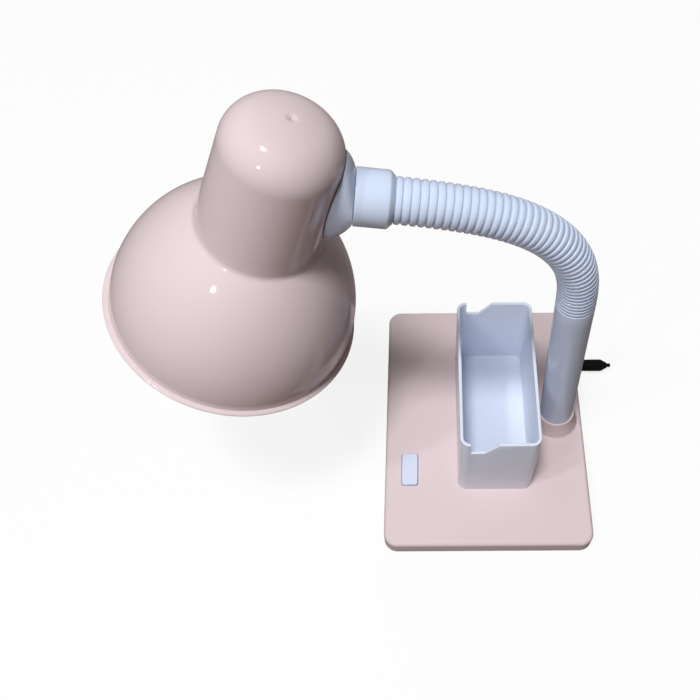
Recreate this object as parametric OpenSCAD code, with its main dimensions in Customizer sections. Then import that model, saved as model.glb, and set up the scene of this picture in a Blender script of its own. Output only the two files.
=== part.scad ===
// Gooseneck desk lamp with a pen tray on its base. Millimetres.
// X runs across the base, Y from its front edge to its back edge, Z up from the desk.

/* [Base] */
// Width of the base, across the neck
base_w = 150; // [130:1:180]
// Depth of the base
base_d = 200; // [170:1:240]
// Height of the base's top face above the desk
base_top = 14.4; // [14:0.2:20]
// Corner radius of the base in plan
base_corner = 10; // [8:0.5:16]
// Rounding of the base's top edge
base_edge = 3; // [1.5:0.5:4]
// Wall of the base shell
base_wall = 2.2; // [1.6:0.1:2.6]
// Thickness of the bottom cover
cover_t = 2.2; // [1.8:0.1:2.6]
// Thickness of the soft pad under the base
base_pad_t = 1.6; // [1:0.1:2]
// Thickness of the steel counterweight
weight_t = 5; // [3:0.5:5.5]
// Gap between the bottom cover and the shell's wall
cover_gap = 0.3; // [0.2:0.05:0.5]

/* [Switch] */
// Width of the button's face
button_w = 11.6; // [9:0.2:14]
// Length of the button's face
button_l = 24.6; // [18:0.2:28]
// Height of the button's face above the base
button_rise = 1.8; // [1.6:0.1:2.5]
// Travel of the button
button_travel = 1.4; // [1:0.1:1.5]
// Gap between the button and its opening
button_gap = 0.5; // [0.3:0.05:0.8]
// Rounding of the button's top edge
button_crown = 0.7; // [0.3:0.1:1.2]
// Height of the switch below the button
switch_h = 3.6; // [3:0.1:4]

/* [Pen tray] */
// Width of the pen tray
tray_w = 54.2; // [44:0.2:60]
// Length of the pen tray
tray_l = 115.3; // [90:0.5:130]
// Height of the pen tray
tray_h = 73.2; // [50:0.2:90]
// Wall of the pen tray
tray_wall = 2.2; // [1.6:0.1:3]
// Floor of the pen tray
tray_floor = 2.6; // [2:0.1:4]
// Corner radius of the pen tray in plan
tray_corner = 6.5; // [4:0.5:9]
// Depth of the phone rest cut into both end walls
notch_depth = 12; // [8:0.5:18]
// Width of the flat of the phone rest
notch_flat = 9.4; // [6:0.2:14]
// Run of the slope beside the flat
notch_slope = 9.6; // [6:0.2:14]
// Width of the horn left beside the phone rest
notch_horn = 7; // [5:0.2:10]

/* [Neck] */
// Outer radius of the stem and of the neck's rings
neck_r = 12.25; // [11:0.05:13]
// Length of the stem above the base
stem_len = 155; // [120:1:190]
// Lean of the stem towards the lamp head, in degrees
stem_lean = 2.4; // [0:0.2:5]
// Pitch of the rings beside the stem
pitch_low = 3.1; // [2.9:0.05:3.6]
// Pitch of the rings beside the lamp head
pitch_high = 4.34; // [3.6:0.02:4.8]
// Depth of the grooves between the rings
groove_depth = 2; // [1.6:0.1:2.2]
// Bend of the whole neck at rest, in degrees
bend_total = 79; // [50:1:90]
// Height of the moulded boss that holds the stem
boss_h = 15; // [10:0.5:20]
// Radius of that boss on the base
boss_r = 16.5; // [15.5:0.25:18]

/* [Head] */
// Outer radius of the shade's lip
lip_r = 74.8; // [70:0.1:85]
// Width of the lip outside the bell
lip_w = 3.1; // [2:0.1:5]
// Thickness of the lip
lip_t = 1.6; // [1.2:0.1:3]
// Height of the crease between bell and cap, above the rim
bell_h = 77.6; // [70:0.1:84]
// Radius of the cap at the crease
cap_r = 33.8; // [32:0.1:35]
// Radius of the cap below its dome
cap_top_r = 30.8; // [30:0.1:32]
// Height of the cap's top above the rim
shade_h = 157.3; // [150:0.1:168]
// Height of the cap's dome
dome_h = 21.9; // [21.5:0.1:28]
// Radius of the dome's shoulder
dome_shoulder = 20.4; // [14:0.1:20.4]
// Wall of the shade
shade_wall = 1.8; // [1.4:0.1:2.2]
// Tilt of the shade from upright, in degrees
shade_tilt = 21.2; // [10:0.2:30]
// Distance from the cap's top down to the neck's axis
joint_drop = 48.7; // [44:0.1:54]
// Distance from the neck's last ring to the shade's axis
joint_reach = 61.8; // [60:0.1:70]
// Radius of the collar at the neck's end
collar_r = 15; // [14:0.1:16]
// Length of the collar
collar_len = 20; // [19:0.1:22]
// Radius of the saddle's foot on the shade
saddle_r = 24.5; // [22:0.1:26]
// Width of the saddle across the neck
saddle_w = 33; // [31:0.5:40]

/* [Hidden] */
$fn = 64;
// Gap between a part that turns or slides and its neighbour
run_gap = 0.3;
// Gap of a shaft in its bearing
bearing_gap = 0.06;
// Gap of a screw or plug in its hole
fit_gap = 0.04;
// Gap of a screw in a hole that it passes through
screw_gap = 0.2;
pink = [0.86, 0.76, 0.77];
white = [0.9, 0.92, 0.96];
steel = [0.7, 0.7, 0.72];
brass = [0.8, 0.66, 0.38];
black = [0.08, 0.08, 0.09];

cover_top = base_pad_t + cover_t;
ceiling = base_top - base_wall;

// Cover screws, pad and counterweight
screw_r = 1.5;
screw_head_r = 2.8;
screw_head_t = 1.2;
screw_post_r = 4;
screw_bite = 5.5;
screw_in_x = 11;
screw_in_y = 34;
base_pad_in = 16;
base_pad_corner = 8;
weight_end_gap = 22;
weight_button_gap = 6.9;
weight_boss_gap = 1.6;
weight_l = base_d - 2*weight_end_gap;
weight_corner = 4;
weight_screw_in = 16;
weight_screw_y = weight_l/2 - weight_screw_in;
weight_bite = 3;

// Switch
button_in_x = 18.3;
button_in_y = 58;
button_x = -base_w/2 + button_in_x;
button_y = -base_d/2 + button_in_y;
button_corner = 1.5;
flange_w = 1.5;
flange_t = 1;
plunger_r = 2.2;
plunger_dip = 0.8;
switch_w = 13;
switch_l = 20;

// Pen tray
tray_stem_gap = 4.8;
tray_peg_r = 4;
tray_peg_in = 19.65;
tray_peg_y = tray_l/2 - tray_peg_in;
tray_peg_gap = 0.1;
tray_peg_len = base_wall;
washer_head_r = 6;
washer_head_t = 1.4;
tray_screw_bite = tray_peg_len + tray_floor - 1.2;

// Neck
stem_in_x = 20.9;
stem_x = base_w/2 - stem_in_x;
tray_x = stem_x - boss_r - tray_stem_gap - tray_w/2;
weight_left = button_x + button_w/2 + button_gap + flange_w + weight_button_gap;
weight_right = stem_x - boss_r - weight_boss_gap;
link_count = 14;
rings_per_link = 3;
ring_share = 0.55;
core_r = neck_r - groove_depth;
bore_r = core_r - 2.85;
nose_r = core_r - 1.35;
nose_len = 1.6;
socket_r = nose_r + run_gap;
socket_depth = 3;
core_gap = 0.45;
spigot_r = 7;
boss_floor = 2;
boss_drop = base_wall + 0.8;
boss_wall = 1.3;
washer_r = 11;
washer_t = 1;
nut_r = 11.5;
nut_t = 3.5;
spigot_len = boss_floor + boss_drop + washer_t + nut_t + 0.4;

// Neck's end and swivel
collar_chamfer = 2.6;
collar_nose_r = neck_r + 0.35;
plug_len = 8;
nipple_r = 6;
nipple_bore = 4;
swivel_nut_r = 9;
swivel_nut_t = 4;
collar_wall = 3.8;
saddle_neck_r = collar_r;
saddle_shoulder = 6.2;
saddle_shoulder_r = 22;
saddle_gap = 0.1;
pad_r = 11.5;
pad_reach = 3.8;
cap_nut_t = 4.5;
nipple_end = 1;

// Lamp holder and bulb, measured along the shade's axis
holder_r = 18.5;
holder_rise = 2.5;
holder_bore = 14.4;
holder_roof = 7;
holder_stud_r = 5;
holder_nut_r = 8.5;
holder_nut_t = 4;
bracket_r = cap_top_r - shade_wall - 4.7;
bracket_t = 1.4;
bracket_screw_x = bracket_r - 5;
bracket_post_r = 3.6;
bracket_bite = 5;
bulb_cap_r = 13.1;
bulb_cap_len = 26;
bulb_tip_r = 4.5;
bulb_tip_len = 2;
sleeve_gap = 0.12;
sleeve_len = 27;
contact_t = 1.2;
contact_w = 6;
contact_l = 12;
bulb_neck_r = 14;
bulb_r = 30;
bulb_seam_r = 27;
bulb_wall = 1.5;
bulb_cap_wall = 0.8;
bulb_skirt_len = 37;

// Strain relief where the cord enters the base
bush_in_y = 48.5;
bush_y = base_d/2 - bush_in_y;
bush_r = 4.75;
bush_waist = 3.3;
bush_flange_r = 3.7;
bush_flange_t = 1.6;
bush_len = 21.5;
bush_taper = 4.5;
bush_tip_r = 2.2;
bush_nozzle_r = 1.5;
bush_nozzle_len = 3;
bush_bore = 1.1;
bush_z = cover_top + bush_flange_r + 0.1;

// Outlines and solids that several pieces share

module rounded_rect(w, d, r) {
  square([w - 2*r, d], center = true);
  square([w, d - 2*r], center = true);
  for (sx = [-1, 1], sy = [-1, 1]) translate([sx*(w/2 - r), sy*(d/2 - r)]) circle(r);
}

module slab_section(len, h, e) {
  translate([-len/2, 0]) square([len, h - e]);
  translate([-len/2 + e, 0]) square([len - 2*e, h]);
  for (s = [-1, 1]) translate([s*(len/2 - e), h - e]) circle(e);
}

// Rounded rectangle of height h with its top edge rounded by e
module slab(w, d, r, h, e) {
  rotate([90, 0, 0]) linear_extrude(d - 2*r, center = true) slab_section(w, h, e);
  rotate([90, 0, 90]) linear_extrude(w - 2*r, center = true) slab_section(d, h, e);
  for (k = [0:3])
    translate([(k == 0 || k == 3 ? 1 : -1)*(w/2 - r), (k < 2 ? 1 : -1)*(d/2 - r), 0])
      rotate([0, 0, 90*k]) rotate_extrude(angle = 90) {
        square([r, h - e]);
        square([r - e, h]);
        translate([r - e, h - e]) circle(e);
      }
}

module hex_nut(r, t, hole) {
  difference() {
    cylinder(r = r, h = t, $fn = 6);
    translate([0, 0, -1]) cylinder(r = hole, h = t + 2);
  }
}

// Screw that points up, with the underside of its head at z = 0
module screw_up(r, len, head_r, head_t) {
  translate([0, 0, -head_t]) cylinder(r = head_r, h = head_t);
  translate([0, 0, -0.1]) cylinder(r = r, h = len + 0.1);
}

// Neck: each link is an arc in the XZ plane, bent towards -X

function bend_weight(i) = 0.012 + pow((i - 0.5)/link_count, 1.5)*pow(1 - (i - 0.5)/link_count, 2.4);
function bend_sum(i) = i == 0 ? 0 : bend_weight(i) + bend_sum(i - 1);
function link_bend(i) = bend_total*bend_weight(i)/bend_sum(link_count);
function ring_pitch(i) = pitch_low + (pitch_high - pitch_low)*(i - 1)/(link_count - 1);
function link_len(i) = rings_per_link*ring_pitch(i);
function link_rho(i) = link_len(i)/link_bend(i)*180/PI;
// Start of link i: x, z and the angle from upright
function link_at(i) = i == 1
  ? [stem_x - stem_len*sin(stem_lean), base_top + stem_len*cos(stem_lean), stem_lean]
  : let(p = link_at(i - 1), r = link_rho(i - 1), b = link_bend(i - 1))
    [p[0] + r*(cos(p[2] + b) - cos(p[2])), p[1] + r*(sin(p[2] + b) - sin(p[2])), p[2] + b];
function groove_half(i) = ring_pitch(i)*(1 - ring_share)/2;
neck_end = link_at(link_count + 1);

// Round bar of radius r along link i, from one arc length to another
module neck_arc(i, from, to, r) {
  p = link_at(i);
  rho = link_rho(i);
  deg = 180/PI/rho;
  translate([p[0] - rho*cos(p[2]), 0, p[1] - rho*sin(p[2])])
    rotate([90, 0, 0]) rotate([0, 0, p[2] + from*deg])
      rotate_extrude(angle = (to - from)*deg) translate([rho, 0]) circle(r);
}

// Frame on the neck's line, that far along link i, with Z along the neck
module at_link(i, along = 0) {
  p = link_at(i);
  rho = i > link_count ? 1 : link_rho(i);
  turn = p[2] + along*180/PI/rho;
  translate([p[0] + rho*(cos(turn) - cos(p[2])), 0, p[1] + rho*(sin(turn) - sin(p[2]))])
    rotate([0, -turn, 0]) children();
}

// Ring of the corrugated neck, with a full round crest
module neck_ring(w) rotate_extrude() {
  translate([0, -w/2]) square([neck_r - w/2, w]);
  translate([neck_r - w/2, 0]) circle(w/2);
}

module at_stem() translate([stem_x, 0, base_top]) rotate([0, -stem_lean, 0]) children();
module at_neck_end() at_link(link_count + 1) children();

// Ball-shaped nose on which the next link swings
module nose(root) {
  intersection() {
    sphere(nose_r);
    translate([0, 0, -root]) cylinder(r = neck_r, h = root + nose_len);
  }
}

module neck_link(i) {
  len = link_len(i);
  pitch = ring_pitch(i);
  last = i == link_count;
  color(white) difference() {
    union() {
      neck_arc(i, core_gap, len - groove_half(i), core_r);
      for (k = [0:rings_per_link - 1]) at_link(i, (k + 0.5)*pitch) neck_ring(ring_share*pitch);
      at_link(i + 1)
        if (last) translate([0, 0, -groove_half(i) - 0.4]) cylinder(r = nose_r, h = plug_len + groove_half(i));
        else nose(groove_half(i) + 0.4);
    }
    neck_arc(i, -1, len - 0.3, bore_r);
    at_link(i + 1) translate([0, 0, -2]) cylinder(r = bore_r - 0.4, h = (last ? plug_len : nose_len) + 3);
    neck_arc(i, -1, socket_depth, socket_r);
  }
}

// Base

module cover_outline(gap) rounded_rect(base_w - 2*base_wall - 2*gap, base_d - 2*base_wall - 2*gap, base_corner - base_wall - gap);

module at_cover_screws()
  for (sx = [-1, 1], sy = [-1, 1]) translate([sx*(base_w/2 - screw_in_x), sy*(base_d/2 - screw_in_y), 0]) children();

module at_weight_screws() for (s = [-1, 1]) translate([(weight_left + weight_right)/2, s*weight_screw_y, 0]) children();
module at_tray_pegs() for (s = [-1, 1]) translate([tray_x, s*tray_peg_y, 0]) children();
module at_button() translate([button_x, button_y, 0]) children();
module at_bush() translate([base_w/2, bush_y, bush_z]) rotate([0, 90, 0]) children();

module base_shell() color(pink) difference() {
  union() {
    difference() {
      translate([0, 0, base_pad_t]) slab(base_w, base_d, base_corner, base_top - base_pad_t, base_edge);
      translate([0, 0, base_pad_t - 1]) linear_extrude(ceiling - base_pad_t + 1) cover_outline(0);
    }
    at_cover_screws() translate([0, 0, cover_top]) cylinder(r = screw_post_r, h = base_top - cover_top - 1);
    at_stem() {
      cylinder(r1 = boss_r, r2 = neck_r + boss_wall, h = boss_h);
      translate([0, 0, -boss_drop]) cylinder(r = boss_r - 1.5, h = boss_drop + 0.5);
    }
    // Skirt that closes the boss's tilted foot against the top face
    translate([stem_x, 0, base_top - 1.2]) cylinder(r = boss_r, h = 1.2);
  }
  at_cover_screws() translate([0, 0, cover_top - 1]) cylinder(r = screw_r + fit_gap, h = screw_bite + 1.6);
  at_stem() {
    translate([0, 0, boss_floor]) cylinder(r = neck_r + fit_gap, h = boss_h);
    translate([0, 0, -boss_drop - 2]) cylinder(r = spigot_r + fit_gap, h = boss_drop + boss_floor + 3);
  }
  at_tray_pegs() translate([0, 0, ceiling - 1]) cylinder(r = tray_peg_r + tray_peg_gap, h = base_wall + 2);
  at_button() translate([0, 0, ceiling - 1]) linear_extrude(base_wall + 2)
    rounded_rect(button_w + 2*button_gap, button_l + 2*button_gap, button_corner + button_gap);
  at_bush() translate([0, 0, -base_wall - 1]) cylinder(r = bush_waist + fit_gap, h = base_wall + 2);
}

module base_cover() color(black) difference() {
  translate([0, 0, base_pad_t]) linear_extrude(cover_t) cover_outline(cover_gap);
  at_cover_screws() translate([0, 0, base_pad_t - 1]) {
    cylinder(r = screw_r + screw_gap, h = cover_t + 2);
    cylinder(r = screw_head_r + screw_gap, h = screw_head_t + 1);
  }
  at_weight_screws() translate([0, 0, base_pad_t - 1]) {
    cylinder(r = screw_r + screw_gap, h = cover_t + 2);
    cylinder(r = screw_head_r + screw_gap, h = screw_head_t + 1);
  }
}

module base_pad() color([0.2, 0.2, 0.2])
  linear_extrude(base_pad_t) rounded_rect(base_w - 2*base_pad_in, base_d - 2*base_pad_in, base_pad_corner);

module cover_screws() color(steel) at_cover_screws()
  translate([0, 0, base_pad_t + screw_head_t]) screw_up(screw_r, cover_t - screw_head_t + screw_bite, screw_head_r, screw_head_t);

module base_weight() color(steel) difference() {
  translate([(weight_left + weight_right)/2, 0, cover_top]) linear_extrude(weight_t)
    rounded_rect(weight_right - weight_left, weight_l, weight_corner);
  at_weight_screws() translate([0, 0, cover_top - 1]) cylinder(r = screw_r + fit_gap, h = weight_t + 2);
  at_tray_pegs() translate([0, 0, cover_top - 1]) cylinder(r = washer_head_r + 1, h = weight_t + 2);
}

module weight_screws() color(steel) at_weight_screws()
  translate([0, 0, base_pad_t + screw_head_t]) screw_up(screw_r, cover_t - screw_head_t + weight_bite, screw_head_r, screw_head_t);

module switch_button() color(white) at_button() {
  translate([0, 0, ceiling - run_gap - 0.1])
    slab(button_w, button_l, button_corner, base_wall + button_rise + run_gap + 0.1, button_crown);
  translate([0, 0, ceiling - run_gap - flange_t]) linear_extrude(flange_t)
    rounded_rect(button_w + 2*button_gap + 2*flange_w, button_l + 2*button_gap + 2*flange_w, button_corner + button_gap + flange_w);
  translate([0, 0, cover_top + switch_h - plunger_dip])
    cylinder(r = plunger_r, h = ceiling - run_gap - cover_top - switch_h + plunger_dip - 0.5);
}

module switch_body() color(black) at_button() difference() {
  translate([0, 0, cover_top]) linear_extrude(switch_h) rounded_rect(switch_w, switch_l, 1);
  translate([0, 0, cover_top + switch_h - plunger_dip - button_travel - run_gap])
    cylinder(r = plunger_r + run_gap, h = switch_h);
}

// Pen tray

module pen_tray() color(white) difference() {
  union() {
    translate([tray_x, 0, base_top]) difference() {
      linear_extrude(tray_h) rounded_rect(tray_w, tray_l, tray_corner);
      translate([0, 0, tray_floor]) linear_extrude(tray_h)
        rounded_rect(tray_w - 2*tray_wall, tray_l - 2*tray_wall, tray_corner - tray_wall);
      // Phone rest across both end walls
      translate([-tray_w/2 + notch_horn, 0, tray_h - notch_depth]) rotate([90, 0, 0])
        linear_extrude(tray_l + 2, center = true)
          polygon([[0, 0], [notch_flat, 0], [notch_flat + notch_slope, notch_depth],
            [notch_flat + notch_slope, notch_depth + 1], [0, notch_depth + 1]]);
    }
    at_tray_pegs() translate([0, 0, base_top - tray_peg_len]) cylinder(r = tray_peg_r, h = tray_peg_len + 0.5);
  }
  at_tray_pegs() translate([0, 0, base_top - tray_peg_len - 1]) cylinder(r = screw_r + fit_gap, h = tray_screw_bite + 1.3);
}

module tray_screws() color(steel) at_tray_pegs()
  translate([0, 0, base_top - tray_peg_len]) screw_up(screw_r, tray_screw_bite, washer_head_r, washer_head_t);

// Cord entry

module cord_bush() color(black) at_bush() difference() {
  union() {
    cylinder(r = bush_r, h = bush_len);
    translate([0, 0, bush_len]) cylinder(r1 = bush_r, r2 = bush_tip_r, h = bush_taper);
    translate([0, 0, bush_len + bush_taper - 1]) cylinder(r = bush_nozzle_r, h = bush_nozzle_len + 1);
    translate([0, 0, -base_wall - 0.1]) cylinder(r = bush_waist, h = base_wall + 0.2);
    translate([0, 0, -base_wall - bush_flange_t]) cylinder(r = bush_flange_r, h = bush_flange_t);
  }
  translate([0, 0, -base_wall - bush_flange_t - 1])
    cylinder(r = bush_bore, h = base_wall + bush_flange_t + bush_len + bush_taper + bush_nozzle_len + 2);
}

// Stem

module neck_stem() color(white) at_stem() difference() {
  union() {
    translate([0, 0, boss_floor]) cylinder(r = neck_r, h = stem_len - boss_floor - groove_half(1));
    translate([0, 0, boss_floor - spigot_len]) cylinder(r = spigot_r, h = spigot_len + 1);
    translate([0, 0, stem_len]) nose(groove_half(1) + 0.4);
  }
  translate([0, 0, boss_floor - spigot_len - 1]) cylinder(r = spigot_r - 2.2, h = spigot_len + 12);
  translate([0, 0, boss_floor + 10]) cylinder(r = bore_r, h = stem_len);
}

module stem_washer() color(steel) at_stem() translate([0, 0, -boss_drop - washer_t]) difference() {
  cylinder(r = washer_r, h = washer_t);
  translate([0, 0, -1]) cylinder(r = spigot_r + fit_gap, h = washer_t + 2);
}

module stem_nut() color(steel) at_stem() translate([0, 0, -boss_drop - washer_t - nut_t]) hex_nut(nut_r, nut_t, spigot_r + fit_gap);

// Collar and swivel, measured along the neck from its last ring

saddle_start = collar_len + run_gap;
saddle_axis_gap = 20;
saddle_foot = joint_reach - saddle_start - saddle_shoulder - saddle_axis_gap;
nut_seat = collar_len - collar_wall;

module head_collar() color(white) at_neck_end() difference() {
  union() {
    cylinder(r1 = collar_nose_r, r2 = collar_r, h = collar_chamfer);
    translate([0, 0, collar_chamfer]) cylinder(r = collar_r, h = collar_len - collar_chamfer);
  }
  translate([0, 0, -1]) cylinder(r = nose_r + fit_gap, h = plug_len + 1.4);
  translate([0, 0, plug_len]) cylinder(r = swivel_nut_r + 1.2, h = nut_seat - plug_len);
  cylinder(r = nipple_r + bearing_gap, h = collar_len + 1);
}

// Where the pad inside the shade stops, along the neck's axis
pad_end = joint_reach - cap_r + shade_wall + pad_reach;

module swivel_nipple() color(steel) at_neck_end() difference() {
  translate([0, 0, nut_seat - run_gap - swivel_nut_t - 1]) cylinder(r = nipple_r, h = pad_end + cap_nut_t + nipple_end - nut_seat + run_gap + swivel_nut_t + 1);
  cylinder(r = nipple_bore, h = joint_reach);
}

module swivel_nut() color(steel) at_neck_end() translate([0, 0, nut_seat - run_gap - swivel_nut_t])
  hex_nut(swivel_nut_r, swivel_nut_t, nipple_r + fit_gap);

module cap_nut() color(steel) at_neck_end() translate([0, 0, pad_end]) hex_nut(swivel_nut_r, cap_nut_t, nipple_r + fit_gap);

// Shade, revolved round its own axis

module at_shade() at_neck_end() translate([0, 0, joint_reach]) rotate([0, neck_end[2] + shade_tilt, 0])
  translate([0, 0, -joint_h]) children();

joint_h = shade_h - joint_drop;
bell_r = lip_r - lip_w;
bell_arc = (pow(bell_r - cap_r, 2) + pow(bell_h - lip_t, 2))/(2*(bell_r - cap_r));
dome_base = shade_h - dome_h;
holder_top = dome_base + holder_rise;
holder_len = holder_roof + contact_t + bulb_tip_len + bulb_cap_len;
crown = (pow(cap_top_r, 2) - 2*cap_top_r*dome_shoulder + pow(dome_h, 2))/(2*(dome_h - dome_shoulder));
// How far the fan that holds the crown's arc reaches, so that it passes the dome's top
crown_fan = 1 + dome_h/(crown - dome_h);

// Half section of the shade, with every surface t inside the outer one
module shade_section(t) {
  intersection() {
    translate([bell_r - bell_arc, lip_t]) circle(bell_arc - t);
    square([bell_r, bell_h]);
  }
  polygon([[0, bell_h - t], [cap_r - t, bell_h - t], [cap_r - t, bell_h], [cap_top_r - t, dome_base], [0, dome_base]]);
  intersection() {
    translate([cap_top_r - dome_shoulder, dome_base]) circle(dome_shoulder - t);
    translate([0, dome_base]) square([cap_top_r, dome_h]);
  }
  intersection() {
    translate([0, shade_h - crown]) circle(crown - t);
    polygon([[0, dome_base], [cap_top_r - dome_shoulder, dome_base],
      [(1 + crown_fan)*(cap_top_r - dome_shoulder), dome_base + crown_fan*(crown - dome_h)],
      [0, dome_base + crown_fan*(crown - dome_h)]]);
  }
}

module shade_solid(t) rotate_extrude() shade_section(t);

module at_bracket_posts() for (s = [-1, 1]) translate([0, s*bracket_screw_x, 0]) children();

module shade() color(pink) difference() {
  union() {
    at_shade() {
      difference() {
        union() {
          shade_solid(0);
          cylinder(r = lip_r, h = lip_t);
        }
        shade_solid(shade_wall);
        translate([0, 0, -1]) cylinder(r = bell_r - shade_wall, h = lip_t + 1.2);
      }
      intersection() {
        at_bracket_posts() translate([0, 0, holder_top + bracket_t]) cylinder(r = bracket_post_r, h = dome_h);
        shade_solid(shade_wall/2);
      }
    }
    // Flat pad for the nut inside the cap
    intersection() {
      at_neck_end() translate([0, 0, pad_end - pad_reach - 6]) cylinder(r = pad_r, h = pad_reach + 6);
      at_shade() shade_solid(shade_wall/2);
    }
  }
  at_neck_end() translate([0, 0, collar_len]) cylinder(r = nipple_r + fit_gap, h = joint_reach - collar_len - 10);
  at_shade() at_bracket_posts() translate([0, 0, holder_top]) cylinder(r = screw_r + fit_gap, h = bracket_t + bracket_bite + 0.5);
}

module head_saddle() color(white) difference() {
  at_neck_end() difference() {
    intersection() {
      translate([0, 0, saddle_start]) {
        cylinder(r1 = saddle_neck_r, r2 = saddle_shoulder_r, h = saddle_shoulder);
        translate([0, 0, saddle_shoulder]) cylinder(r1 = saddle_shoulder_r, r2 = saddle_r, h = saddle_foot);
      }
      linear_extrude(joint_reach) rounded_rect(2*saddle_r + 2, saddle_w, saddle_w/2 - 0.5);
    }
    cylinder(r = nipple_r + fit_gap, h = joint_reach);
  }
  at_shade() shade_solid(-saddle_gap);
}

// Lamp holder and bulb

module holder_bracket() color(steel) at_shade() translate([0, 0, holder_top]) difference() {
  cylinder(r = bracket_r, h = bracket_t);
  translate([0, 0, -1]) cylinder(r = holder_stud_r + fit_gap, h = bracket_t + 2);
  at_bracket_posts() translate([0, 0, -1]) cylinder(r = screw_r + screw_gap, h = bracket_t + 2);
}

module bracket_screws() color(steel) at_shade() at_bracket_posts()
  translate([0, 0, holder_top]) screw_up(screw_r, bracket_t + bracket_bite, screw_head_r, screw_head_t);

module lamp_holder() color(black) at_shade() difference() {
  union() {
    translate([0, 0, holder_top - holder_len]) cylinder(r = holder_r, h = holder_len);
    translate([0, 0, holder_top - 1]) cylinder(r = holder_stud_r, h = bracket_t + holder_nut_t + 1.6);
  }
  translate([0, 0, holder_top - holder_len - 1]) cylinder(r = holder_bore, h = holder_len - holder_roof + 1);
  at_bracket_posts() translate([0, 0, holder_top - screw_head_t - 0.5]) cylinder(r = screw_head_r + 0.5, h = screw_head_t + 1);
}

module holder_nut() color(steel) at_shade() translate([0, 0, holder_top + bracket_t])
  hex_nut(holder_nut_r, holder_nut_t, holder_stud_r + fit_gap);

holder_ceiling = holder_top - holder_roof;
bulb_top = holder_ceiling - contact_t;

module holder_sleeve() color(brass) at_shade() translate([0, 0, bulb_top - bulb_tip_len - sleeve_len + 1]) difference() {
  cylinder(r = holder_bore - fit_gap, h = sleeve_len);
  translate([0, 0, -1]) cylinder(r = bulb_cap_r + sleeve_gap, h = sleeve_len + 2);
}

module holder_contact() color(brass) at_shade() translate([-contact_l/2, -contact_w/2, holder_ceiling - contact_t])
  cube([contact_l, contact_w, contact_t]);

module bulb_cap() color(steel) at_shade() translate([0, 0, bulb_top - bulb_tip_len]) difference() {
  union() {
    translate([0, 0, -bulb_cap_len]) cylinder(r = bulb_cap_r, h = bulb_cap_len);
    cylinder(r1 = bulb_tip_r + 2, r2 = bulb_tip_r, h = bulb_tip_len);
  }
  translate([0, 0, -bulb_cap_len - 1]) cylinder(r = bulb_cap_r - bulb_cap_wall, h = bulb_cap_len);
}

bulb_skirt = bulb_top - bulb_tip_len - bulb_cap_len;

module bulb_body() color(white) at_shade() translate([0, 0, bulb_skirt - bulb_skirt_len])
  cylinder(r1 = bulb_seam_r, r2 = bulb_neck_r, h = bulb_skirt_len);

module at_globe() at_shade() translate([0, 0, bulb_skirt - bulb_skirt_len - sqrt(bulb_r*bulb_r - bulb_seam_r*bulb_seam_r)]) children();

module bulb_globe() color([0.97, 0.96, 0.92]) difference() {
  intersection() {
    at_globe() sphere(bulb_r);
    at_shade() translate([0, 0, bulb_skirt - bulb_skirt_len - 2*bulb_r]) cylinder(r = bulb_r + 1, h = 2*bulb_r);
  }
  at_globe() sphere(bulb_r - bulb_wall);
}

base_shell();
base_cover();
base_pad();
cover_screws();
base_weight();
weight_screws();
switch_button();
switch_body();
pen_tray();
tray_screws();
cord_bush();
neck_stem();
stem_washer();
stem_nut();
for (i = [1:link_count]) neck_link(i);
head_collar();
swivel_nipple();
swivel_nut();
head_saddle();
shade();
cap_nut();
holder_bracket();
bracket_screws();
lamp_holder();
holder_nut();
holder_sleeve();
holder_contact();
bulb_cap();
bulb_body();
bulb_globe();
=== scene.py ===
import math

import bmesh
import bpy
from mathutils import Matrix, Vector


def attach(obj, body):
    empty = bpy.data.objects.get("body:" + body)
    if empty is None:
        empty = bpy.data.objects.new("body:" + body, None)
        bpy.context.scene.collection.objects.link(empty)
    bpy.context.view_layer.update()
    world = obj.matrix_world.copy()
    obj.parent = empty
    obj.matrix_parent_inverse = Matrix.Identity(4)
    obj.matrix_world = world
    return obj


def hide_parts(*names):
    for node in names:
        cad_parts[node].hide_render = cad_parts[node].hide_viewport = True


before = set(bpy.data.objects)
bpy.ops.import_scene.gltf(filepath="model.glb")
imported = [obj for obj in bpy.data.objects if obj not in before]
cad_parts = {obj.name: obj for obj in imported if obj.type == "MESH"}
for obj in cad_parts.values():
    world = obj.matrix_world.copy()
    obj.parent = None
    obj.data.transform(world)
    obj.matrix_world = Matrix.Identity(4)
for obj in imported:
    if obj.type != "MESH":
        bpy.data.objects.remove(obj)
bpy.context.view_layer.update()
scene = bpy.context.scene
mm = 0.001
print("frame loaded:", len(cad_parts), "nodes")


# Camera, read off the edges of the base, the tray and the shade's rim

view = {"place": (-39.21, -285.15, 571.27), "pitch": 59.238, "yaw": 0.088, "roll": -0.264,
        "focal": 811.646, "centre": (433.463, 367.45), "frame": 700, "sensor": 36}


def setCamera():
    pitch, yaw, roll = (math.radians(view[k]) for k in ("pitch", "yaw", "roll"))
    ahead = Vector((math.sin(yaw)*math.cos(pitch), math.cos(yaw)*math.cos(pitch), -math.sin(pitch)))
    right = Vector((math.cos(yaw), -math.sin(yaw), 0))
    above = right.cross(ahead)
    across = math.cos(roll)*right + math.sin(roll)*above
    upward = math.cos(roll)*above - math.sin(roll)*right
    bpy.ops.object.camera_add()
    camera = bpy.context.object
    turn = Matrix((across, upward, -ahead)).transposed().to_4x4()
    camera.matrix_world = Matrix.Translation(Vector(view["place"])*mm) @ turn
    lens = camera.data
    lens.sensor_width = view["sensor"]
    lens.lens = view["focal"]/view["frame"]*view["sensor"]
    lens.shift_x = (view["frame"]/2 - view["centre"][0])/view["frame"]
    lens.shift_y = (view["centre"][1] - view["frame"]/2)/view["frame"]
    lens.clip_start = 0.01
    scene.camera = camera


setCamera()
print("camera set")


# Shader maths: a wire is an output that can be added to, scaled and so on

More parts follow.
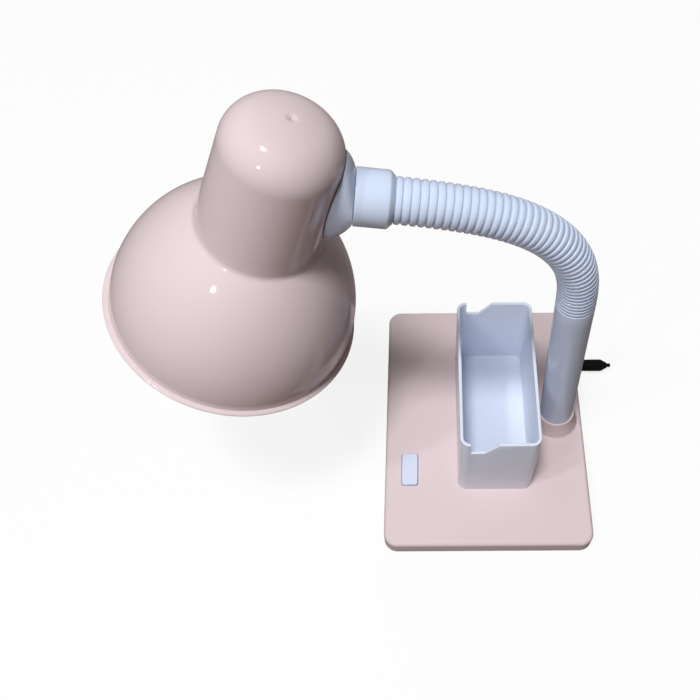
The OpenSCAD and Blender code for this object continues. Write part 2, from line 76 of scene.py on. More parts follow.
class Wire:
    def __init__(self, finish, socket):
        self.finish, self.socket = finish, socket

    def maths(self, operation, first, second):
        return self.finish.node("ShaderNodeMath", {"operation": operation}, [first, second])

    def __add__(self, other): return self.maths("ADD", self, other)
    def __radd__(self, other): return self.maths("ADD", other, self)
    def __sub__(self, other): return self.maths("SUBTRACT", self, other)
    def __mul__(self, other): return self.maths("MULTIPLY", self, other)
    def __rmul__(self, other): return self.maths("MULTIPLY", other, self)


class Nodes:
    def __init__(self, owner):
        owner.use_nodes = True
        self.tree = owner.node_tree
        self.tree.nodes.clear()

    def node(self, kind, settings=None, inputs=(), output=0):
        made = self.tree.nodes.new(kind)
        for key, value in (settings or {}).items():
            setattr(made, key, value)
        pairs = inputs.items() if isinstance(inputs, dict) else enumerate(inputs)
        for key, value in pairs:
            if isinstance(value, Wire):
                self.tree.links.new(value.socket, made.inputs[key])
            else:
                made.inputs[key].default_value = value
        return Wire(self, made.outputs[output])

    def lightPaths(self):
        # Seen by the eye, and seen in a mirror or through glass
        paths = self.tree.nodes.new("ShaderNodeLightPath")
        eye, mirror, glass = (Wire(self, paths.outputs[k])
                              for k in ("Is Camera Ray", "Is Glossy Ray", "Is Transmission Ray"))
        return eye, mirror + glass


class Finish(Nodes):
    def __init__(self, name, **fixed):
        self.material = bpy.data.materials.new(name)
        super().__init__(self.material)
        self.surface = self.tree.nodes.new("ShaderNodeBsdfPrincipled")
        self.output = self.tree.nodes.new("ShaderNodeOutputMaterial")
        self.tree.links.new(self.surface.outputs[0], self.output.inputs[0])
        for key, value in fixed.items():
            self.surface.inputs[key.replace("_", " ")].default_value = value

    def feed(self, name, wire):
        self.tree.links.new(wire.socket, self.surface.inputs[name])

    def shader(self):
        return Wire(self, self.surface.outputs[0])

    def show(self, wire):
        self.tree.links.new(wire.socket, self.output.inputs[0])

    def place(self):
        return self.node("ShaderNodeTexCoord", output="Object")

    def noise(self, scale, detail=2.0, rough=0.5):
        return self.node("ShaderNodeTexNoise", {}, {"Vector": self.place(), "Scale": scale,
                                                    "Detail": detail, "Roughness": rough})

    def between(self, share, first, second):
        return self.node("ShaderNodeMix", {"data_type": "RGBA"}, {0: share, 6: first, 7: second}, output=2)

    def bump(self, height, strength, depth):
        self.feed("Normal", self.node("ShaderNodeBump", {}, {"Height": height, "Strength": strength,
                                                             "Distance": depth}))


def rgb(red, green, blue):
    def straight(v):
        v = v/255
        return v/12.92 if v <= 0.04045 else ((v + 0.055)/1.055)**2.4
    return (straight(red), straight(green), straight(blue), 1)


def mouldedPlastic(name, colour, deep, gloss, swing, grain, peel, ior=1.36):
    # Colour clouds a little where the melt flowed, gloss dulls in faint patches, skin has a fine grain
    finish = Finish(name, IOR=ior)
    cloud = finish.noise(22, 3)
    fine = finish.noise(grain, 2)
    finish.feed("Base Color", finish.between(cloud, colour, deep))
    handled = finish.noise(65, 4, 0.6)
    finish.feed("Roughness", gloss + swing*(handled - 0.5) + 0.03*(fine - 0.5))
    finish.bump(fine*0.5 + finish.noise(peel, 1)*0.5, 0.05, 0.00002)
    return finish.material


pinkGloss = mouldedPlastic("pinkGloss", rgb(230, 211, 212), rgb(226, 206, 207), 0.08, 0.03, 3200, 260, 1.34)
pinkSatin = mouldedPlastic("pinkSatin", rgb(230, 211, 212), rgb(226, 206, 207), 0.36, 0.08, 2600, 700)
whiteTray = mouldedPlastic("whiteTray", rgb(229, 235, 249), rgb(225, 231, 246), 0.2, 0.06, 2600, 500)
whiteNeck = mouldedPlastic("whiteNeck", rgb(218, 229, 250), rgb(213, 225, 247), 0.08, 0.03, 3000, 420)
whiteButton = mouldedPlastic("whiteButton", rgb(221, 228, 247), rgb(217, 224, 244), 0.3, 0.05, 3600, 600)
blackPlastic = mouldedPlastic("blackPlastic", rgb(34, 34, 36), rgb(28, 28, 30), 0.42, 0.1, 2600, 700)
blackRubber = mouldedPlastic("blackRubber", rgb(15, 15, 16), rgb(10, 10, 11), 0.62, 0.1, 1900, 600)


def turnedMetal(name, colour, deep, gloss, lines):
    finish = Finish(name, Metallic=1.0)
    stretched = finish.node("ShaderNodeMapping", {}, {"Vector": finish.place(), "Scale": (1, 1, 14)})
    streak = finish.node("ShaderNodeTexNoise", {}, {"Vector": stretched, "Scale": lines, "Detail": 3})
    finish.feed("Base Color", finish.between(streak, colour, deep))
    finish.feed("Roughness", gloss + 0.18*(streak - 0.5))
    finish.bump(streak, 0.2, 0.00003)
    return finish.material


zincSteel = turnedMetal("zincSteel", rgb(196, 197, 200), rgb(166, 168, 172), 0.34, 700)
rolledBrass = turnedMetal("rolledBrass", rgb(222, 190, 118), rgb(196, 160, 90), 0.3, 800)


def opalBulb():
    finish = Finish("opalBulb", IOR=1.49, Coat_Weight=0.2, Coat_Roughness=0.05)
    cloud = finish.noise(30, 2)
    finish.feed("Base Color", finish.between(cloud, rgb(243, 241, 234), rgb(238, 236, 229)))
    finish.feed("Roughness", 0.22 + 0.06*(finish.noise(90, 3) - 0.5))
    finish.bump(finish.noise(300, 1), 0.2, 0.00004)
    return finish.material


opalWhite = opalBulb()
print("finishes made")


# Small steps that every piece goes through

def clearSelection():
    if bpy.context.mode != "OBJECT":
        bpy.ops.object.mode_set(mode="OBJECT")
    bpy.ops.object.select_all(action="DESELECT")


def takeUp(piece):
    clearSelection()
    piece.select_set(True)
    bpy.context.view_layer.objects.active = piece


def pick(piece, kind, test):
    bpy.ops.mesh.select_mode(type=kind)
    bpy.ops.mesh.select_all(action="DESELECT")
    shape = bmesh.from_edit_mesh(piece.data)
    for item in {"VERT": shape.verts, "EDGE": shape.edges, "FACE": shape.faces}[kind]:
        if test(item):
            item.select_set(True)
    shape.select_flush_mode()
    bmesh.update_edit_mesh(piece.data)


def tidyNormals():
    bpy.ops.mesh.select_all(action="SELECT")
    bpy.ops.mesh.remove_doubles(threshold=0.000002)
    bpy.ops.mesh.normals_make_consistent(inside=False)


def useModifier(piece, kind, **settings):
    takeUp(piece)
    modifier = piece.modifiers.new(kind.lower(), kind)
    for key, value in settings.items():
        setattr(modifier, key, value)
    bpy.ops.object.modifier_apply(modifier=modifier.name)


def softenEdges(piece, width):
    useModifier(piece, "BEVEL", width=width*mm, segments=3, limit_method="ANGLE",
                angle_limit=math.radians(32), harden_normals=False)


def cut(piece, tool, operation="DIFFERENCE"):
    useModifier(piece, "BOOLEAN", object=tool, operation=operation, solver="EXACT")
    bpy.data.objects.remove(tool)


def place(piece, where):
    takeUp(piece)
    piece.matrix_world = where
    bpy.ops.object.transform_apply(location=True, rotation=True, scale=True)


def complete(piece, body, finish, slot, *nodes, angle=34):
    takeUp(piece)
    bpy.ops.object.shade_smooth_by_angle(angle=math.radians(angle))
    piece.data.materials.clear()
    piece.data.materials.append(finish)
    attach(piece, body)
    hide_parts(*nodes)
    print("made", piece.name, len(piece.data.polygons), "faces")


def drawLine(name, points):
    # One vertex, extruded from point to point in the XZ plane, in millimetres
    clearSelection()
    bpy.ops.mesh.primitive_plane_add(size=0.01)
    piece = bpy.context.object
    piece.name = name
    bpy.ops.object.mode_set(mode="EDIT")
    bpy.ops.mesh.select_mode(type="VERT")
    bpy.ops.mesh.select_all(action="SELECT")
    bpy.ops.mesh.merge(type="CENTER")
    bpy.ops.transform.translate(value=(points[0][0]*mm, 0, points[0][1]*mm))
    for (x0, z0), (x1, z1) in zip(points, points[1:]):
        bpy.ops.mesh.extrude_region_move(
            TRANSFORM_OT_translate={"value": ((x1 - x0)*mm, 0, (z1 - z0)*mm)})
    return piece


def turnOnLathe(name, points, steps=96):
    # A closed outline of radius and height, spun once round the Z axis
    piece = drawLine(name, list(points) + [points[0]])
    bpy.ops.mesh.select_all(action="SELECT")
    bpy.ops.mesh.spin(steps=steps, angle=2*math.pi, center=(0, 0, 0), axis=(0, 0, 1))
    tidyNormals()
    bpy.ops.mesh.delete_loose(use_verts=True, use_edges=True, use_faces=False)
    bpy.ops.object.mode_set(mode="OBJECT")
    return piece


def roundedBlock(name, width, depth, low, high, corner, steps):
    clearSelection()
    bpy.ops.mesh.primitive_cube_add(size=1)
    piece = bpy.context.object
    piece.name = name
    piece.scale = (width*mm, depth*mm, (high - low)*mm)
    piece.location = (0, 0, (high + low)/2*mm)
    bpy.ops.object.transform_apply(location=True, rotation=True, scale=True)
    bpy.ops.object.mode_set(mode="EDIT")
    pick(piece, "EDGE", lambda e: (e.verts[0].co - e.verts[1].co).xy.length < 1e-6)
    bpy.ops.mesh.bevel(offset=corner*mm, segments=steps, affect="EDGES")
    bpy.ops.object.mode_set(mode="OBJECT")
    return piece


def arc(centre, radius, start, stop, steps):
    # Points on a circle, from one angle to the other, in degrees
    turn = [math.radians(start + (stop - start)*k/steps) for k in range(steps + 1)]
    return [(centre[0] + radius*math.cos(a), centre[1] + radius*math.sin(a)) for a in turn]


# Neck's line: every link is an arc in the XZ plane, as in the solids

neck = {"radius": 12.25, "stemFoot": (54.1, 14.4), "stemLength": 155, "lean": 2.4, "links": 14,
        "rings": 3, "pitch": (3.1, 4.34), "groove": 0.85, "floor": 0.53, "bend": 79,
        "bendCurve": (0.012, 1.5, 2.4), "inside": 7.6, "nose": 1.6, "socket": 2.6, "play": 0.06,
        "lead": 20, "pathStep": 0.5}
valley = neck["radius"] - neck["groove"]


def bendShare(i):
    t = (i - 0.5)/neck["links"]
    least, rise, fall = neck["bendCurve"]
    return least + t**rise*(1 - t)**fall


bendSum = sum(bendShare(i) for i in range(1, neck["links"] + 1))


def ringPitch(i):
    low, high = neck["pitch"]
    return low + (high - low)*(i - 1)/(neck["links"] - 1)


def neckStations():
    # Start of each link and the neck's end: x, z, angle from upright, length so far
    lean = math.radians(neck["lean"])
    x, z = neck["stemFoot"]
    rows = [(x - neck["stemLength"]*math.sin(lean), z + neck["stemLength"]*math.cos(lean), lean, 0)]
    for i in range(1, neck["links"] + 1):
        x, z, a, length = rows[-1]
        run = neck["rings"]*ringPitch(i)
        b = math.radians(neck["bend"])*bendShare(i)/bendSum
        r = run/b
        rows.append((x + r*(math.cos(a + b) - math.cos(a)), z + r*(math.sin(a + b) - math.sin(a)), a + b,
                     length + run))
    return rows


stations = neckStations()


def alongNeck(x, z, angle, distance=0.0):
    # Frame with Z along the neck, that far on from a point of its line
    foot = Vector((x - distance*math.sin(angle), 0, z + distance*math.cos(angle)))*mm
    return Matrix.Translation(foot) @ Matrix.Rotation(-angle, 4, "Y")


stemFrame = alongNeck(*neck["stemFoot"], math.radians(neck["lean"]))
neckEnd = stations[-1]

head = {"tilt": 21.2, "reach": 61.8, "jointHeight": 108.6}


def shadeFrame():
    joint = alongNeck(*neckEnd[:3], head["reach"]).translation
    tilt = Matrix.Rotation(math.radians(head["tilt"]), 4, "Y")
    return Matrix.Translation(joint) @ tilt @ Matrix.Translation((0, 0, -head["jointHeight"]*mm))


shadeSeat = shadeFrame()


# Base

base = {"size": (150, 200), "low": 1.6, "top": 14.4, "corner": 10, "edge": 3.0, "wall": 2.2,
        "bossFoot": 16.5, "bossTop": 13.55, "bossHeight": 15, "bossFloor": 2, "bossRoot": -1.6,
        "bossEdge": 0.5, "bore": 12.29, "flare": 0.7}
button = {"size": (11.6, 24.6), "at": (-56.7, -42), "gap": 0.5, "corner": 1.5, "low": 10.9, "top": 16.2,
          "flange": 1.5, "flangeTop": 11.9, "crown": 0.7}


def makeBase():
    (width, depth), low, top = base["size"], base["low"], base["top"]
    piece = roundedBlock("baseShell", width, depth, low, top, base["corner"], 18)
    bpy.ops.object.mode_set(mode="EDIT")
    pick(piece, "EDGE", lambda e: all(abs(v.co.z - top*mm) < 1e-6 for v in e.verts)
         and not e.is_boundary and len({f.normal.z > 0.5 for f in e.link_faces}) == 2)
    bpy.ops.mesh.bevel(offset=base["edge"]*mm, segments=10, affect="EDGES")
    pick(piece, "FACE", lambda f: f.normal.z < -0.9)
    bpy.ops.mesh.inset(thickness=base["wall"]*mm)
    bpy.ops.mesh.extrude_region_move(
        TRANSFORM_OT_translate={"value": (0, 0, (top - low - base["wall"])*mm)})
    tidyNormals()
    bpy.ops.object.mode_set(mode="OBJECT")

    foot, rim, height, flare = base["bossFoot"], base["bossTop"], base["bossHeight"], base["flare"]
    bore, floor, root, edge = base["bore"], base["bossFloor"], base["bossRoot"], base["bossEdge"]
    slope = (foot - rim)/height
    outline = [(0.0, root), (foot + flare, root), (foot + flare, -0.5)]
    outline += [(foot + flare*(1 - k/6)**2, 0.1 + 1.2*k/6) for k in range(7)]
    outline += [(foot - slope*h, h) for h in (3, 7, 11, 14.2)]
    outline += arc((rim - edge + slope*0.3, height - edge), edge, 10, 90, 5)
    outline += [(bore + 0.25, height), (bore, height - 0.25), (bore, floor), (0.0, floor)]
    boss = turnOnLathe("boss", outline, 128)
    place(boss, stemFrame)
    cut(piece, boss, "UNION")

    hole = roundedBlock("hole", button["size"][0] + 2*button["gap"], button["size"][1] + 2*button["gap"],
                        low + 1, top + 5, button["corner"] + button["gap"], 6)
    place(hole, Matrix.Translation(Vector((*button["at"], 0))*mm))
    cut(piece, hole)
    complete(piece, "base", pinkSatin, "pink_plastic", "base_shell", angle=30)


def makeButton():
    (width, depth), low, top = button["size"], button["low"], button["top"]
    piece = roundedBlock("pushButton", width, depth, low, top, button["corner"], 6)
    bpy.ops.object.mode_set(mode="EDIT")
    pick(piece, "EDGE", lambda e: all(abs(v.co.z - top*mm) < 1e-6 for v in e.verts)
         and len({f.normal.z > 0.5 for f in e.link_faces}) == 2)
    bpy.ops.mesh.bevel(offset=button["crown"]*mm, segments=5, affect="EDGES")
    # Flange that keeps it from coming out of the shell
    bpy.ops.mesh.select_all(action="SELECT")
    bpy.ops.mesh.bisect(plane_co=(0, 0, button["flangeTop"]*mm), plane_no=(0, 0, 1))
    pick(piece, "FACE", lambda f: abs(f.normal.z) < 0.2
         and f.calc_center_median().z < button["flangeTop"]*mm)
    bpy.ops.mesh.extrude_region_shrink_fatten(
        TRANSFORM_OT_shrink_fatten={"value": (button["gap"] + button["flange"])*mm})
    tidyNormals()
    bpy.ops.object.mode_set(mode="OBJECT")
    place(piece, Matrix.Translation(Vector((*button["at"], 0))*mm))
    complete(piece, "button", whiteButton, "white_plastic", "switch_button")


makeBase()
makeButton()


# Pen tray

tray = {"at": 5.7, "size": (54.2, 115.3), "low": base["top"], "height": 73.2, "wall": 2.2, "floor": 2.6,
        "corner": 6.5, "horn": 7, "flat": 9.4, "slope": 9.6, "depth": 12, "rim": 0.5, "past": 5}


def makeTray():
    (width, depth), low, high = tray["size"], tray["low"], tray["low"] + tray["height"]
    piece = roundedBlock("penTray", width, depth, low, high, tray["corner"], 12)
    bpy.ops.object.mode_set(mode="EDIT")
    pick(piece, "FACE", lambda f: f.normal.z > 0.9)
    bpy.ops.mesh.inset(thickness=tray["wall"]*mm)
    bpy.ops.mesh.extrude_region_move(
        TRANSFORM_OT_translate={"value": (0, 0, -(tray["height"] - tray["floor"])*mm)})
    bpy.ops.object.mode_set(mode="OBJECT")

    left, flat, slope, deep = -width/2 + tray["horn"], tray["flat"], tray["slope"], tray["depth"]
    corner, past = left + flat, tray["past"]
    rest = drawLine("phoneRest", [(left, high - deep), (corner, high - deep), (corner + slope, high),
                                  (corner + slope + 4, high + past), (left, high + past)])
    bpy.ops.mesh.select_all(action="SELECT")
    bpy.ops.mesh.edge_face_add()
    bpy.ops.transform.translate(value=(0, -(depth/2 + past)*mm, 0))
    bpy.ops.mesh.extrude_region_move(TRANSFORM_OT_translate={"value": (0, (depth + 2*past)*mm, 0)})
    tidyNormals()
    bpy.ops.object.mode_set(mode="OBJECT")
    cut(piece, rest)
    place(piece, Matrix.Translation((tray["at"]*mm, 0, 0)))
    softenEdges(piece, tray["rim"])
    complete(piece, "base", whiteTray, "white_plastic", "pen_tray")


makeTray()


# Stem, strain relief

stem = {"radius": neck["radius"], "top": neck["stemLength"], "inside": 7.4, "seat": 2.05, "edge": 0.5}
relief = {"at": (75, 51.5, 7.6), "radius": 4.75, "length": 21.5, "taper": 4.5, "tip": 2.2, "nozzle": 1.5,
          "nozzleLength": 3, "bore": 1.1, "waist": 3.3, "flange": 3.7, "flangeEnds": (-3.8, -2.25),
          "rings": 4, "firstRing": 2.6, "ringPitch": 2.2, "ringDepth": 0.28}


def makeStem():
    r, high, bore, seat = stem["radius"], stem["top"] - neck["floor"], stem["inside"], stem["seat"]
    outline = [(bore, seat), (r - 0.4, seat), (r, seat + 0.4)]
    outline += [(r, seat + (high - seat)*k/12) for k in range(1, 12)]
    # Its top is hollowed for the ball of the first link
    socket, hollow = valley + neck["play"], stem["top"] - neck["socket"]
    outline += arc((r - stem["edge"], high - stem["edge"]), stem["edge"], 0, 90, 4)
    outline += [(socket, high), (socket, hollow), (bore, hollow)]
    piece = turnOnLathe("smoothStem", outline, 128)
    place(piece, stemFrame)
    complete(piece, "base", whiteNeck, "white_plastic", "neck_stem")


def makeRelief():
    r, long, taper, bore = relief["radius"], relief["length"], relief["taper"], relief["bore"]
    inner, outer = relief["flangeEnds"]
    outline = [(bore, inner), (relief["flange"], inner), (relief["flange"], outer),
               (relief["waist"], outer + 0.05), (relief["waist"], 0), (r - 0.4, 0), (r, 0.4)]
    # Shallow grip rings near the base's wall
    low = r - relief["ringDepth"]
    for k in range(relief["rings"]):
        foot = relief["firstRing"] + relief["ringPitch"]*k
        outline += [(r, foot), (low, foot + 0.35), (low, foot + 0.8), (r, foot + 1.15)]
    tip, nozzle, cone = relief["tip"], relief["nozzle"], long + taper
    end = cone + relief["nozzleLength"]
    outline += [(r, long - 0.3), (r - 0.25, long + 0.2), (tip + 0.2, cone - 0.3), (tip, cone),
                (nozzle, cone + 0.1), (nozzle, end - 0.3), (nozzle - 0.2, end), (bore, end)]
    piece = turnOnLathe("cordRelief", outline, 48)
    place(piece, Matrix.Translation(Vector(relief["at"])*mm) @ Matrix.Rotation(math.pi/2, 4, "Y"))
    complete(piece, "base", blackRubber, "black_rubber", "cord_bush")


makeStem()
makeRelief()


# Corrugated hose: each link is turned straight, then bent along the neck's line

hose = {"steps": 72,
        "wave": ((0.0, 0.0), (0.05, 0.3), (0.12, 0.56), (0.24, 0.78), (0.42, 0.93), (0.68, 0.99), (1.0, 1.0))}


def ringWave(start, pitch):
    # One ring between two flat valleys
    half = pitch/2 - neck["floor"]
    rise = [(valley + neck["groove"]*height, start + neck["floor"] + half*t) for t, height in hose["wave"]]
    return rise + [(r, 2*start + pitch - z) for r, z in reversed(rise[:-1])]


def neckCurve():
    bpy.ops.curve.primitive_nurbs_path_add()
    path = bpy.context.object
    path.name = "neckLine"
    path.data.splines.clear()
    points = []
    first, last, lead = stations[0], stations[-1], neck["lead"]
    points.append((first[0] + lead*math.sin(first[2]), first[1] - lead*math.cos(first[2])))
    for here, there in zip(stations, stations[1:]):
        b = there[2] - here[2]
        r = (there[3] - here[3])/b
        count = round((there[3] - here[3])/neck["pathStep"])
        for k in range(count):
            a = here[2] + b*k/count
            points.append((here[0] + r*(math.cos(a) - math.cos(here[2])),
                           here[1] + r*(math.sin(a) - math.sin(here[2]))))
    points.append(last[:2])
    points.append((last[0] - lead*math.sin(last[2]), last[1] + lead*math.cos(last[2])))
    line = path.data.splines.new("POLY")
    line.points.add(len(points) - 1)
    for point, (x, z) in zip(line.points, points):
        point.co = (x*mm, 0, z*mm, 1)
    path.data.dimensions = "3D"
    path.data.twist_mode = "MINIMUM"
    return path


def linkOutline(i, foot):
    # Ball that turns in the link below, three rings, and a socket for the ball above
    pitch, inside, nose = ringPitch(i), neck["inside"], neck["nose"]
    end = foot + neck["rings"]*pitch
    outline = [(inside, foot - nose)]
    outline += [(math.sqrt(valley**2 - (nose*k/4)**2), foot - nose*k/4) for k in (4, 3, 2, 1, 0)]
    for k in range(neck["rings"]):
        outline += ringWave(foot + k*pitch, pitch)
    if i == neck["links"]:
        # The last link runs on into the collar
        outline += [(valley, end), (inside, end)]
    else:
        hole, floor = valley + neck["play"], end - neck["socket"]
        outline[-1] = (hole, outline[-1][1])
        outline += [(hole, floor), (inside, floor)]
    return outline + [(inside, (foot + end)/2)]


def makeHose():
    path = neckCurve()
    for i in range(1, neck["links"] + 1):
        foot = neck["lead"] + stations[i - 1][3]
        piece = turnOnLathe(f"hoseLink{i}", linkOutline(i, foot), hose["steps"])
        useModifier(piece, "CURVE", object=path, deform_axis="POS_Z")
        complete(piece, f"link_{i}", whiteNeck, "white_plastic", f"neck_link_{i}", angle=50)
    bpy.data.objects.remove(path)


makeHose()


# Head: collar, saddle, shade

collar = {"radius": 15, "length": 20, "chamfer": 2.6, "nose": 12.6, "inside": 8.94, "bore": 6.06, "face": 3.8,
          "edge": 0.5}
saddle = {"start": 20.3, "neck": 15, "edge": 14.6, "halfHeight": 31, "halfWidth": 15.2, "tilt": 4,
          "bore": 6.04, "gap": 0.4,
          "flare": ((0.3, 0.0), (1.2, 0.2), (2.6, 0.42), (4.6, 0.64), (7.0, 0.82), (10.5, 0.93), (15.0, 0.98),
                    (21.5, 1.0))}
shade = {"lip": 74.8, "lipWidth": 3.1, "lipThick": 1.6, "bell": 77.6, "cap": 33.8, "capTop": 30.8,
         "height": 157.3, "dome": 21.9, "shoulder": 20.4, "wall": 1.8, "crease": 2.2, "steps": 160}
gateMark = {"reach": 4.5, "rows": 14, "crater": 3.4, "depth": 0.8, "pit": 0.5, "pitDepth": 0.9}


def makeCollar():
    r, long, inside, bore = collar["radius"], collar["length"], collar["inside"], collar["bore"]
    nose, chamfer, edge, seat = collar["nose"], collar["chamfer"], collar["edge"], long - collar["face"]
    outline = [(inside, 0.3), (nose - 0.3, 0.0), (nose, 0.25)]
    outline += [(r - 0.45, chamfer - 0.4), (r - 0.12, chamfer + 0.05), (r, chamfer + 0.6)]
    outline += [(r, chamfer + (long - chamfer)*k/6) for k in (1, 2, 3, 4, 5)]
    outline += arc((r - edge, long - edge), edge, 0, 90, 4)
    outline += [(bore, long), (bore, seat), (inside, seat)]
    piece = turnOnLathe("neckCollar", outline, 128)
    place(piece, alongNeck(*neckEnd[:3]))
    complete(piece, "link_14", whiteNeck, "white_plastic", "head_collar")


def bellRadius():
    run, rise = shade["lip"] - shade["lipWidth"] - shade["cap"], shade["bell"] - shade["lipThick"]
    return (run*run + rise*rise)/(2*run)


def shadeSkin(inset, dimple):
    # Outer or inner skin, from the lip up to the top on the axis
    skin = []
    r, foot = bellRadius(), shade["lip"] - shade["lipWidth"]
    top = math.degrees(math.asin((shade["bell"] - shade["lipThick"])/r))
    skin += arc((foot - r, shade["lipThick"]), r - inset, 0, top - 1.2, 36)
    domeFoot = shade["height"] - shade["dome"]
    capFoot, capTop = shade["cap"] - inset, shade["capTop"] - inset
    # Soft crease between bell and cap
    last = skin[-1]
    lift = shade["bell"] + shade["crease"] - (inset*0.4)
    rise = (capFoot + (capTop - capFoot)*0.04, lift)
    corner = (capFoot + 0.1, shade["bell"] - inset*0.6)
    for k in range(1, 7):
        t = k/6
        skin.append(((1 - t)**2*last[0] + 2*t*(1 - t)*corner[0] + t*t*rise[0],
                     (1 - t)**2*last[1] + 2*t*(1 - t)*corner[1] + t*t*rise[1]))
    skin += [(capFoot + (capTop - capFoot)*k/8, lift + (domeFoot - lift)*k/8) for k in range(1, 8)]
    s = shade["shoulder"]
    crown = (shade["capTop"]**2 - 2*shade["capTop"]*s + shade["dome"]**2)/(2*(shade["dome"] - s))
    meet = math.degrees(math.atan2(domeFoot - (shade["height"] - crown), shade["capTop"] - s))
    skin += arc((shade["capTop"] - s, domeFoot), s - inset, 0, meet, 16)
    skin += [(x, z) for x, z in arc((0, shade["height"] - crown), crown - inset, meet, 90, 26)[1:]
             if x > gateMark["reach"]]
    for k in range(gateMark["rows"], -1, -1):
        # Sunk gate mark on the axis: a soft crater with a small pit
        x = gateMark["reach"]*(k/gateMark["rows"])**1.5
        z = shade["height"] - crown + math.sqrt((crown - inset)**2 - x*x)
        if dimple:
            z -= gateMark["depth"]*max(0, 1 - (x/gateMark["crater"])**2)**2
            z -= gateMark["pitDepth"]*max(0, 1 - (x/gateMark["pit"])**2)
        skin.append((x, z))
    return skin


def makeShade():
    lip, thick, wall = shade["lip"], shade["lipThick"], shade["wall"]
    foot = lip - shade["lipWidth"]
    outer, inner = shadeSkin(0, True), shadeSkin(wall, False)
    outline = [(foot - wall, 0.3), (foot - wall + 0.3, 0.0), (lip - 0.5, 0.0), (lip - 0.15, 0.15),
               (lip, 0.5), (lip, thick - 0.9), (lip - 0.15, thick - 0.6), (lip - 0.5, thick - 0.36),
               (lip - 1.2, thick - 0.13), (foot + 0.9, thick), (foot + 0.3, thick + 0.12)]
    outline += [(x, z) for x, z in outer if z > thick + 0.3]
    outline += [(x, z) for x, z in reversed(inner) if z > thick + 0.1]
    piece = turnOnLathe("bellShade", outline, shade["steps"])
    place(piece, shadeSeat)
    complete(piece, "head", pinkGloss, "pink_plastic", "shade", angle=50)


def makeSaddle():
    start, neckRadius, tall, bore = saddle["start"], saddle["neck"], saddle["halfHeight"], saddle["bore"]
    # Half height of the fish tail, at each distance from the collar
    rows = [(neckRadius + (tall - neckRadius)*share, start + far, share) for far, share in saddle["flare"]]
    outline = [(bore, start), (saddle["edge"], start)]
    outline += [(r, z) for r, z, share in rows] + [(bore, rows[-1][1])]
    piece = turnOnLathe("headSaddle", outline, 128)
    bpy.ops.object.mode_set(mode="EDIT")
    for r, z, share in rows:
        # Across the neck it stays as narrow as the collar, and it leans over to lie along the shade
        width = neckRadius + (saddle["halfWidth"] - neckRadius)*share
        pick(piece, "VERT", lambda v: abs(v.co.z - z*mm) < 1e-6 and abs(v.co.xy.length - r*mm) < 1e-5)
        bpy.ops.transform.resize(value=(1, width/r, 1), center_override=(0, 0, 0))
        bpy.ops.transform.rotate(value=-math.radians(saddle["tilt"])*share, orient_axis="Y",
                                 center_override=(0, 0, z*mm))
    bpy.ops.object.mode_set(mode="OBJECT")
    place(piece, alongNeck(*neckEnd[:3]))
    core = [(0.0, 2.0)] + [(x, z) for x, z in shadeSkin(-saddle["gap"], False)]
    tool = turnOnLathe("shadeCore", core, shade["steps"])
    place(tool, shadeSeat)
    cut(piece, tool)
    complete(piece, "head", whiteNeck, "white_plastic", "head_saddle", angle=28)


makeCollar()
makeShade()
makeSaddle()


# Bulb

bulb = {"seam": 64.7, "skirt": 101.7, "seamRadius": 27, "neckRadius": 14, "globe": 30, "wall": 1.5,
        "edge": 0.6, "waist": 1.1}


def makeBulb():
    seam, r = bulb["seam"], bulb["globe"]
    centre = seam - math.sqrt(r*r - bulb["seamRadius"]**2)
    high = math.degrees(math.asin((seam - centre)/r))
    thin = r - bulb["wall"]
    highIn = math.degrees(math.asin((seam - centre)/thin))
    outline = arc((0, centre), r, -90, high, 40) + arc((0, centre), thin, highIn, -90, 30)
    outline[0] = (0.0, outline[0][1])
    outline[-1] = (0.0, outline[-1][1])
    globe = turnOnLathe("bulbGlobe", outline, 96)
    place(globe, shadeSeat)
    complete(globe, "head", opalWhite, "bulb_white", "bulb_globe", angle=50)
    wide, narrow, edge = bulb["seamRadius"], bulb["neckRadius"], bulb["edge"]
    run = bulb["skirt"] - seam - edge
    outline = [(0.0, seam), (wide - 0.5, seam), (wide, seam + edge)]
    for k in range(1, 13):
        t = k/12
        outline.append((wide + (narrow - wide)*t - bulb["waist"]*math.sin(math.pi*t)*t, seam + edge + run*t))
    outline += [(0.0, bulb["skirt"])]
    body = turnOnLathe("bulbBody", outline, 96)
    place(body, shadeSeat)
    complete(body, "head", opalWhite, "bulb_white", "bulb_body", angle=50)


makeBulb()


# Solids that stay as they are

carried = {"base_cover": blackPlastic, "switch_body": blackPlastic, "lamp_holder": blackPlastic,
           "base_pad": blackRubber, "holder_sleeve": rolledBrass, "holder_contact": rolledBrass}


def dressSolids():
    for name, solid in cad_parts.items():
        if solid.hide_render:
            continue
        for slot in solid.material_slots:
            slot.material = carried.get(name, zincSteel)


dressSolids()
print("solids dressed")


# Floor, light: a lamp's level is what a white surface that faces it would show

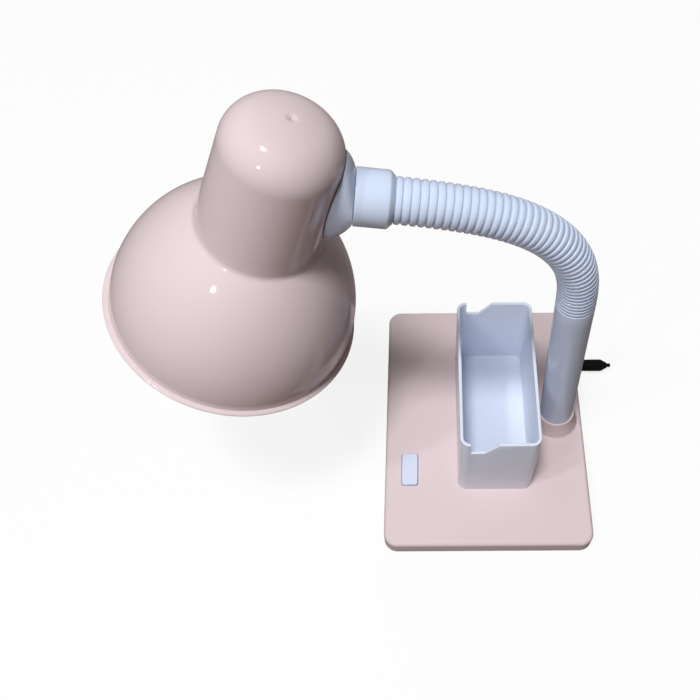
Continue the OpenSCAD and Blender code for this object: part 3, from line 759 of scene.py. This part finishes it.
studio = {"floor": 6.0, "floorSeen": rgb(252, 252, 252), "floorBounce": rgb(98, 76, 66), "floorWhite": 0.85,
          "mirrored": 0.15, "sky": 0.05, "skyColour": (1.0, 0.76, 0.68), "lampColour": (0.97, 1.0, 1.02),
          "aim": (-0.09, 0.0, 0.16),
          "lamps": [("overhead", (-0.09, -0.19, 0.97), 6.0, 1.1, 0.56, False),
                    ("side", (-0.45, -0.22, 0.87), 6.0, 0.35, 0.12, False),
                    ("front", (-0.25, -0.65, 0.72), 5.0, 3.0, 0.19, False),
                    ("behind", (0.10, 0.97, 0.20), 5.0, 3.0, 0.22, False),
                    ("glint", (-0.086, -0.197, 0.977), 1.555, 0.28, 0.10, True),
                    ("nearLeft", (-0.34, -0.615, 0.711), 0.489, 0.025, 0.10, True)]}


def makeFloor():
    clearSelection()
    bpy.ops.mesh.primitive_plane_add(size=studio["floor"], location=(0, 0, -0.0003))
    floor = bpy.context.object
    floor.name = "studioFloor"
    finish = Finish("paleFloor", Roughness=0.85)
    eye, mirrored = finish.lightPaths()
    finish.feed("Base Color", finish.between(eye, studio["floorBounce"], studio["floorSeen"]))
    # White paper to the eye, with a faint shadow left on it, and a dimmer one where it is mirrored
    paper = finish.node("ShaderNodeEmission", {}, {"Color": (1, 1, 1, 1), "Strength": 1.0})
    share = eye*studio["floorWhite"] + mirrored*studio["mirrored"]
    mixed = finish.node("ShaderNodeMixShader", {}, {0: share, 1: finish.shader(), 2: paper})
    finish.show(mixed)
    floor.data.materials.append(finish.material)


def hangLamps():
    aim = Vector(studio["aim"])
    for name, toward, far, size, level, glints in studio["lamps"]:
        lamp = bpy.data.lights.new(name, "AREA")
        lamp.shape, lamp.size, lamp.energy = "DISK", size, level*(math.pi*far)**2
        lamp.color = studio["lampColour"]
        holder = bpy.data.objects.new(name, lamp)
        scene.collection.objects.link(holder)
        away = Vector(toward).normalized()
        holder.location = aim + away*far
        holder.rotation_euler = away.to_track_quat("Z", "Y").to_euler()
        holder.visible_glossy = glints


def makeSky():
    scene.world = bpy.data.worlds.new("studio")
    sky = Nodes(scene.world)
    eye, mirrored = sky.lightPaths()
    dim = sky.node("ShaderNodeBackground", {}, [(*studio["skyColour"], 1), studio["sky"]])
    white = sky.node("ShaderNodeBackground", {}, [(1, 1, 1, 1), 1.0])
    mixed = sky.node("ShaderNodeMixShader", {}, [eye + mirrored*studio["mirrored"], dim, white])
    output = sky.tree.nodes.new("ShaderNodeOutputWorld")
    sky.tree.links.new(mixed.socket, output.inputs[0])
    scene.view_settings.view_transform = "Standard"


makeFloor()
hangLamps()
makeSky()
print("studio set")
